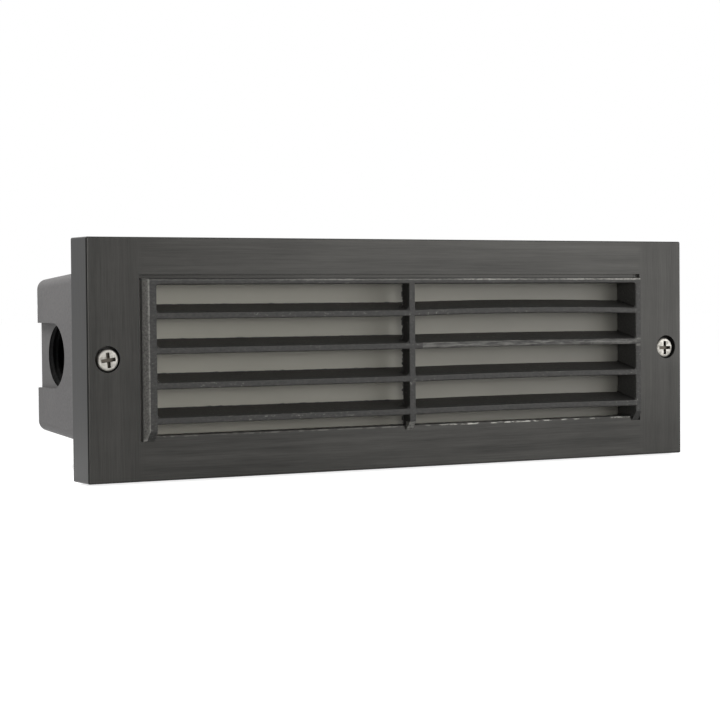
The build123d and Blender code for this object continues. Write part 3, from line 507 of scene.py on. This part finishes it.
# ------------------------------------------------------------------ lens
# painted shade: the lens is painted lighter at its left end than at its right, and darker still
# next to the window's right wall
LENS_LIT_LEFT_COLORS = ((0.208, 0.200, 0.166), (0.232, 0.223, 0.187))
LENS_SHADED_RIGHT_COLORS = ((0.143, 0.138, 0.118), (0.162, 0.156, 0.134))
LENS_END_SHADOW_COLOR = (0.05, 0.05, 0.045)
LENS_END_SHADOW_START = WINDOW_HALF_LENGTH - 7.0 * MM
LENS_END_SHADOW_END = WINDOW_HALF_LENGTH - 1.0 * MM
LENS_END_SHADOW_SHARE = 0.4

# painted shade: the frosted lens is painted darker from left to right, and a painted shadow darkens
# its last few millimetres next to the window's right wall
frosted = Finish("lens_frosted", (0.20, 0.19, 0.16), roughness=0.55)
frosted_along = frosted.axis("X")
frosted_cloud = frosted.noise(scale=30.0, stretch=(1.0, 1.0, 2.0), detail=4.0)
frosting_and_painted_shade = frosted.mix(
    frosted.remap(frosted_along, -WINDOW_HALF_LENGTH, WINDOW_HALF_LENGTH),
    frosted.tint(frosted_cloud, 0.3, 0.7, LENS_LIT_LEFT_COLORS),
    frosted.tint(frosted_cloud, 0.3, 0.7, LENS_SHADED_RIGHT_COLORS),
)
painted_end_shadow = frosted.remap(frosted_along, LENS_END_SHADOW_START, LENS_END_SHADOW_END, 0.0, LENS_END_SHADOW_SHARE)
frosted.color(frosted.mix(painted_end_shadow, frosting_and_painted_shade, LENS_END_SHADOW_COLOR))
frosted.bump(frosted.noise(scale=3000.0, detail=3.0), 0.015 * MM, 0.5)
dress(frosted, "lens")

# ------------------------------------------------------------------ inner parts
REFLECTOR_COLORS = ((0.74, 0.74, 0.74), (0.84, 0.84, 0.84))
CERAMIC_COLORS = ((0.72, 0.71, 0.66), (0.82, 0.81, 0.78))
BRASS_COLORS = ((0.52, 0.36, 0.15), (0.68, 0.50, 0.22))
TUNGSTEN_COLORS = ((0.18, 0.17, 0.16), (0.32, 0.31, 0.30))
FEED_COLORS = ((0.012, 0.012, 0.012), (0.025, 0.025, 0.025))
RETURN_COLORS = ((0.62, 0.61, 0.58), (0.74, 0.73, 0.70))
CONNECTOR_COLORS = ((0.50, 0.16, 0.03), (0.62, 0.22, 0.05))
GLASS_IOR = 1.47

bright = Finish("reflector_bright", (0.80, 0.80, 0.80), metallic=1.0, roughness=0.22)
rolled = bright.noise(stretch=(12.0, 600.0, 600.0), detail=4.0)
bright.rough(bright.remap(rolled, 0.3, 0.7, 0.18, 0.32))
bright.color(bright.tint(rolled, 0.3, 0.7, REFLECTOR_COLORS))
bright.bump(bright.noise(scale=60.0, detail=2.0), 0.03 * MM, 0.3)
dress(bright, "reflector")

ceramic = Finish("socket_ceramic", (0.78, 0.77, 0.73), roughness=0.55)
ceramic.color(ceramic.tint(ceramic.noise(scale=180.0, detail=4.0), 0.35, 0.65, CERAMIC_COLORS))
ceramic.bump(ceramic.noise(scale=1600.0, detail=3.0), 0.02 * MM, 0.5)
dress(ceramic, "lamp_socket_left", "lamp_socket_right")

brass = Finish("contact_brass", (0.62, 0.44, 0.18), metallic=1.0, roughness=0.35)
brass.color(brass.tint(brass.noise(scale=500.0, detail=3.0), 0.35, 0.65, BRASS_COLORS))
dress(brass, "socket_contacts_left", "socket_contacts_right")

glass = Finish("lamp_glass", (0.95, 0.95, 0.95), roughness=0.04)
glass.shader.inputs["Transmission Weight"].default_value = 1.0
glass.shader.inputs["IOR"].default_value = GLASS_IOR
glass.rough(glass.remap(glass.noise(scale=120.0, detail=2.0), 0.3, 0.7, 0.02, 0.07))
dress(glass, "lamp_left", "lamp_right")

tungsten = Finish("filament_wire", (0.25, 0.24, 0.23), metallic=1.0, roughness=0.5)
tungsten.color(tungsten.tint(
    tungsten.noise(scale=900.0, detail=3.0), 0.35, 0.65, TUNGSTEN_COLORS
))
dress(tungsten, "lamp_filament_left", "lamp_filament_right")


def insulation(name, colors):
    """Smooth wire insulation with faint handling marks."""
    finish = Finish(name, colors[1], roughness=0.45)
    finish.color(finish.tint(finish.noise(scale=250.0, detail=4.0), 0.35, 0.65, colors))
    finish.bump(finish.noise(scale=1500.0, detail=2.0), 0.02 * MM, 0.3)
    return finish


dress(insulation("feed_insulation", FEED_COLORS), "lead_left_feed", "lead_right_feed")
dress(insulation("return_insulation", RETURN_COLORS), "lead_left_return", "lead_right_return")
dress(insulation("connector_plastic", CONNECTOR_COLORS), "wire_connectors")


# ------------------------------------------------------------------ mesh helpers
def add_object(name, made):
    """Turns finished bmesh geometry into an object."""
    bmesh.ops.recalc_face_normals(made, faces=made.faces)
    mesh = bpy.data.meshes.new(name)
    made.to_mesh(mesh)
    made.free()
    piece = bpy.data.objects.new(name, mesh)
    bpy.context.collection.objects.link(piece)
    return piece


def add_prism(made, front_ring, back_ring):
    """Closes two rings of points into a solid."""
    front = [made.verts.new(point) for point in front_ring]
    back = [made.verts.new(point) for point in back_ring]
    count = len(front)
    for i in range(count):
        j = (i + 1) % count
        made.faces.new((front[i], front[j], back[j], back[i]))
    made.faces.new(front)
    made.faces.new(list(reversed(back)))


# ------------------------------------------------------------------ conduit thread
ENTRY_WALL = 4.0 * MM
THREAD_CREST_RADIUS = 9.65 * MM
THREAD_PITCH = 1.814 * MM
THREAD_STEPS = 72
THREAD_FADE_STEPS = 9
HALF_FOOT = 0.42 * THREAD_PITCH
HALF_CREST = 0.08 * THREAD_PITCH
THREAD_SHADE_COLORS = ((0.004, 0.004, 0.004), (0.009, 0.009, 0.009))


def thread_ridge(name):
    """The ridge of the entry's pipe thread: a V that winds along the hole's wall."""
    made = bmesh.new()
    turns = (ENTRY_WALL - 2 * HALF_FOOT) / THREAD_PITCH
    count = int(turns * THREAD_STEPS) + 1
    profile = [
        (-HALF_FOOT, THREAD_ROOT_RADIUS),
        (-HALF_CREST, THREAD_CREST_RADIUS),
        (HALF_CREST, THREAD_CREST_RADIUS),
        (HALF_FOOT, THREAD_ROOT_RADIUS),
    ]
    rings = []
    for step in range(count):
        angle = 2 * math.pi * step / THREAD_STEPS
        fade = min(1.0, step / THREAD_FADE_STEPS, (count - 1 - step) / THREAD_FADE_STEPS)
        x = ENTRY_OUTER_X + HALF_FOOT + THREAD_PITCH * step / THREAD_STEPS
        ring = []
        for offset, radius in profile:
            reach = THREAD_ROOT_RADIUS - (THREAD_ROOT_RADIUS - radius) * fade
            ring.append(made.verts.new((
                x + offset,
                ENTRY_Y + reach * math.sin(angle),
                reach * math.cos(angle),
            )))
        rings.append(ring)
    for before, after in zip(rings, rings[1:]):
        for left, right in zip(range(4), (1, 2, 3, 0)):
            made.faces.new((before[left], before[right], after[right], after[left]))
    made.faces.new(rings[0])
    made.faces.new(reversed(rings[-1]))
    return add_object(name, made)


# painted shade: the thread ridge is near black and almost without gloss, in place of the shade
# inside the entry
thread_shade = Finish("entry_thread_painted_shade", (0.006, 0.006, 0.006), roughness=0.7)
thread_shade.shader.inputs["Specular IOR Level"].default_value = 0.05
thread_shade.color(thread_shade.tint(
    thread_shade.noise(scale=1200.0, detail=3.0), 0.35, 0.65, THREAD_SHADE_COLORS
))
thread_shade.bump(thread_shade.noise(scale=2200.0, detail=3.0), 0.02 * MM, 0.5)
entry_thread = thread_ridge("conduit_entry_thread")
entry_thread.data.materials.append(thread_shade.material)
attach(entry_thread, "housing")

# ------------------------------------------------------------------ casting details of the louver
SLAT_FIRST_TOP = 14.5 * MM
SLAT_PITCH = 10.93 * MM
SLAT_RISE = 2.6 * MM
SLAT_THICKNESS = 1.8 * MM
SLAT_COUNT = 4
SEAT_Y = -4.7 * MM
MULLION_HALF_WIDTH = 1.2 * MM
MULLION_BACK_Y = -11.2 * MM

# new pieces start this far inside the solid that they grow from
BURY = 0.3 * MM

FILLET_STEPS = 6
FILLET_FRONT_GAP = 0.35 * MM
FILLET_BACK_GAP = 0.1 * MM
# the wall, the way that it faces along X, the fillet's radius, and where it ends at the rear
SLAT_ENDS = [
    (-WINDOW_HALF_LENGTH, 1, 1.1 * MM, SEAT_Y),
    (-MULLION_HALF_WIDTH, -1, 1.3 * MM, MULLION_BACK_Y),
    (MULLION_HALF_WIDTH, 1, 0.8 * MM, MULLION_BACK_Y),
    (WINDOW_HALF_LENGTH, -1, 0.9 * MM, SEAT_Y),
]

FLASH_STEP = 0.45 * MM
FLASH_ROOT_HEIGHT = 2.2 * MM
FLASH_ROOT_REACH = 1.5 * MM
FLASH_FRONT_Y = MULLION_BACK_Y - 0.35 * MM
FLASH_BACK_Y = MULLION_BACK_Y - 0.02 * MM

EDGE_FLASH_STEP = 1.3 * MM
EDGE_FLASH_DEPTH = 0.3 * MM
EDGE_FLASH_FOOT = 0.2 * MM
EDGE_FLASH_TOOTH = 0.14 * MM
EDGE_FLASH_TOOTH_SHARE = 0.06
EDGE_FLASH_Y = SEAT_Y - 0.02 * MM
EDGE_FLASH_LEFT = -WINDOW_HALF_LENGTH + 0.2 * MM


def slat_top_at(slat, y):
    """Height of a slat's sloping top at depth y."""
    share = (y - LOUVER_FRONT_Y) / (SEAT_Y - LOUVER_FRONT_Y)
    return SLAT_FIRST_TOP - slat * SLAT_PITCH + share * SLAT_RISE


def fillet_ring(wall_x, way, radius, top_z, y):
    """Section of a concave fillet between a wall that faces way along X and a slat's top."""
    ring = [(wall_x - way * BURY, y, top_z - BURY), (wall_x + way * radius, y, top_z - BURY)]
    for step in range(FILLET_STEPS + 1):
        angle = 0.5 * math.pi * step / FILLET_STEPS
        ring.append((
            wall_x + way * radius * (1 - math.sin(angle)),
            y,
            top_z + radius * (1 - math.cos(angle)),
        ))
    ring.append((wall_x - way * BURY, y, top_z + radius))
    return ring


def slat_end_fillets():
    """The cast fillet where each end of each slat runs into its wall."""
    made = bmesh.new()
    front_y = LOUVER_FRONT_Y + FILLET_FRONT_GAP
    for slat in range(SLAT_COUNT):
        for wall_x, way, radius, back_y in SLAT_ENDS:
            last_y = back_y - FILLET_BACK_GAP
            add_prism(
                made,
                fillet_ring(wall_x, way, radius, slat_top_at(slat, front_y), front_y),
                fillet_ring(wall_x, way, radius, slat_top_at(slat, last_y), last_y),
            )
    return add_object("slat_end_fillets", made)


def mullion_casting_flash(draws):
    """Thin uneven flash that the casting left along the mullion's back edge."""
    made = bmesh.new()
    for gap in range(SLAT_COUNT + 1):
        top, bottom = WINDOW_TOP, WINDOW_BOTTOM
        if gap > 0:
            top = slat_top_at(gap - 1, MULLION_BACK_Y) - SLAT_THICKNESS
        if gap < SLAT_COUNT:
            bottom = slat_top_at(gap, MULLION_BACK_Y)
        steps = int((top - bottom) / FLASH_STEP)
        ring = [(-MULLION_HALF_WIDTH + BURY, top), (-MULLION_HALF_WIDTH + BURY, bottom)]
        for step in range(steps + 1):
            z = bottom + (top - bottom) * step / steps
            root = 0.0
            if gap < SLAT_COUNT:
                up = min(1.0, (z - bottom) / FLASH_ROOT_HEIGHT)
                root = FLASH_ROOT_REACH * (1.0 - math.sqrt(1.0 - (1.0 - up) ** 2))
            ragged = draws.uniform(0.05, 0.95) * MM * (0.5 + 0.5 * draws.random())
            ring.append((-MULLION_HALF_WIDTH - root - ragged, z))
        add_prism(
            made,
            [(x, FLASH_FRONT_Y, z) for x, z in ring],
            [(x, FLASH_BACK_Y, z) for x, z in ring],
        )
    return add_object("mullion_casting_flash", made)


def slat_edge_flash(draws):
    """The same flash, finer, along the rear edge of each slat's left half."""
    made = bmesh.new()
    for slat in range(SLAT_COUNT):
        base_z = slat_top_at(slat, EDGE_FLASH_Y - EDGE_FLASH_DEPTH)
        steps = int((-MULLION_HALF_WIDTH - EDGE_FLASH_LEFT) / EDGE_FLASH_STEP)
        crest = []
        for step in range(steps + 1):
            x = EDGE_FLASH_LEFT + (-MULLION_HALF_WIDTH - EDGE_FLASH_LEFT) * step / steps
            rise = draws.uniform(0.10, 0.20) * MM
            if draws.random() < EDGE_FLASH_TOOTH_SHARE:
                rise += EDGE_FLASH_TOOTH
            crest.append((x, base_z + rise))
        foot_z = base_z - EDGE_FLASH_FOOT
        ring = [(crest[-1][0], foot_z), (EDGE_FLASH_LEFT, foot_z)] + crest
        add_prism(
            made,
            [(x, EDGE_FLASH_Y - EDGE_FLASH_DEPTH, z) for x, z in ring],
            [(x, EDGE_FLASH_Y, z) for x, z in ring],
        )
    return add_object("slat_edge_flash", made)


# both flashes draw from one seeded source, the mullion's first
flash_random = random.Random(7)
louver_details = [
    slat_end_fillets(),
    mullion_casting_flash(flash_random),
    slat_edge_flash(flash_random),
]
for piece in louver_details:
    piece.data.materials.append(plate.material)
    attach(piece, "faceplate")

# ------------------------------------------------------------------ floor and background
FLOOR_Z = -38.7 * MM
FLOOR_REACH = 6
FLOOR_GLOW = 0.82
WORLD_FILL = 0.18

floor_mesh = bpy.data.meshes.new("floor")
floor_mesh.from_pydata(
    [
        (-FLOOR_REACH, -FLOOR_REACH, 0),
        (FLOOR_REACH, -FLOOR_REACH, 0),
        (FLOOR_REACH, FLOOR_REACH, 0),
        (-FLOOR_REACH, FLOOR_REACH, 0),
    ],
    [],
    [(0, 1, 2, 3)],
)
floor = bpy.data.objects.new("floor", floor_mesh)
floor.location.z = FLOOR_Z
bpy.context.collection.objects.link(floor)

# the floor and the world are pale to the camera and in gloss and glass, and give little light
floor_finish = Finish("floor_pale", (0.50, 0.50, 0.50), roughness=0.9)
floor_path = floor_finish.node("ShaderNodeLightPath")
seen = floor_finish.largest(
    floor_path.outputs["Is Camera Ray"],
    floor_path.outputs["Is Glossy Ray"],
    floor_path.outputs["Is Transmission Ray"],
)
floor_finish.shader.inputs["Emission Color"].default_value = WHITE
floor_finish.link(
    floor_finish.math("MULTIPLY", seen, FLOOR_GLOW), floor_finish.shader.inputs["Emission Strength"]
)
floor_mesh.materials.append(floor_finish.material)

world = bpy.data.worlds.new("studio")
bpy.context.scene.world = world
world.use_nodes = True
world_tree = world.node_tree
background = world_tree.nodes["Background"]
background.inputs["Color"].default_value = WHITE
world_path = world_tree.nodes.new("ShaderNodeLightPath")
first = world_tree.nodes.new("ShaderNodeMath")
first.operation = "MAXIMUM"
second = world_tree.nodes.new("ShaderNodeMath")
second.operation = "MAXIMUM"
strength = world_tree.nodes.new("ShaderNodeMapRange")
strength.inputs["To Min"].default_value = WORLD_FILL
strength.inputs["To Max"].default_value = 1.0
world_tree.links.new(world_path.outputs["Is Camera Ray"], first.inputs[0])
world_tree.links.new(world_path.outputs["Is Glossy Ray"], first.inputs[1])
world_tree.links.new(first.outputs[0], second.inputs[0])
world_tree.links.new(world_path.outputs["Is Transmission Ray"], second.inputs[1])
world_tree.links.new(second.outputs[0], strength.inputs["Value"])
world_tree.links.new(strength.outputs["Result"], background.inputs["Strength"])


# ------------------------------------------------------------------ lamps of the studio
def soft_light(name, place, target, size, power):
    """A square area light, size metres wide and power watts strong, that faces a point."""
    data = bpy.data.lights.new(name, "AREA")
    data.size = size
    data.energy = power
    light = bpy.data.objects.new(name, data)
    light.location = place
    light.rotation_euler = (Vector(target) - Vector(place)).to_track_quat("-Z", "Y").to_euler()
    bpy.context.collection.objects.link(light)


soft_light("key_above", (0.45, -0.55, 1.0), (0.0, 0.0, 0.0), size=0.8, power=1.2)
soft_light("right_front", (0.385, -0.45, 0.16), (0.04, 0.0, 0.0), size=0.5, power=2.7)
soft_light("front_fill", (-0.25, -0.85, 0.05), (0.0, 0.0, 0.0), size=0.3, power=3.2)
soft_light("left_side", (-0.20, 0.03, 0.17), (-0.10, 0.03, 0.0), size=0.1, power=0.55)
